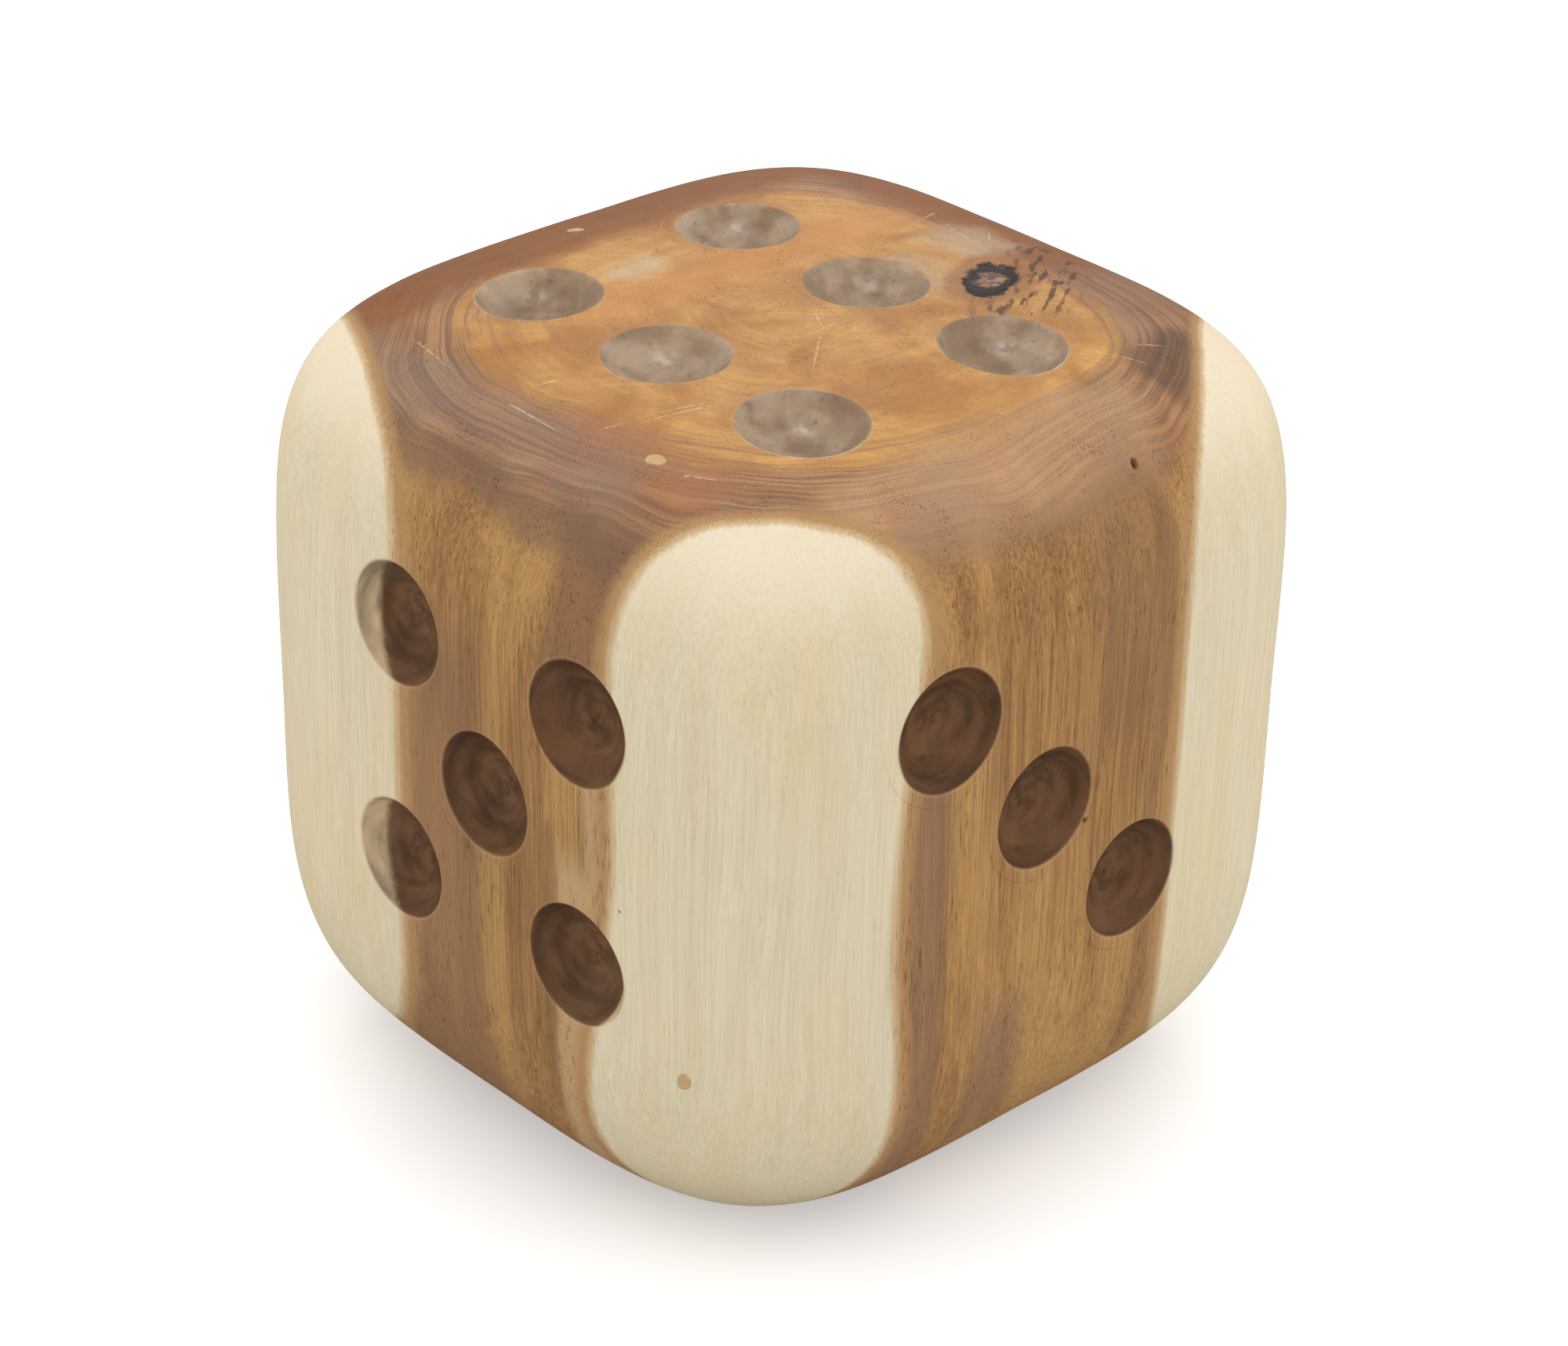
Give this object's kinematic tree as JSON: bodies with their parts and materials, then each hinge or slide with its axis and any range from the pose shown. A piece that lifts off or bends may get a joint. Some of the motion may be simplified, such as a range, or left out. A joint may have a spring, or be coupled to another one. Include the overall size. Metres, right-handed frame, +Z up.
{
  "type": "carved wooden die",
  "caption": "Large rounded cube carved from a log, brown heart and pale corners, with round ground dishes as the spots of a die.",
  "frame": {"origin": "on the ground, under the middle of the block", "axes": "+Z up along the grain; -Y is the face with five dots, +X the face with three, +Z the face with six"},
  "size_m": [0.397, 0.403, 0.395],
  "materials": {
    "heartwood": "brown end grain and long grain, thin satin oil",
    "sapwood": "cream long grain, thin satin oil",
    "knot": "dead knot with black bark ring, satin",
    "filler": "sawdust filler, sanded flush"
  },
  "bodies": {
    "root": {"heartwood_core": "heartwood", "sapwood_front": "sapwood", "sapwood_left": "sapwood", "sapwood_right": "sapwood", "sapwood_back": "sapwood", "knot_top": "knot", "filler_front": "filler", "filler_rim": "filler", "filler_top": "filler"}
  },
  "joints": []
}
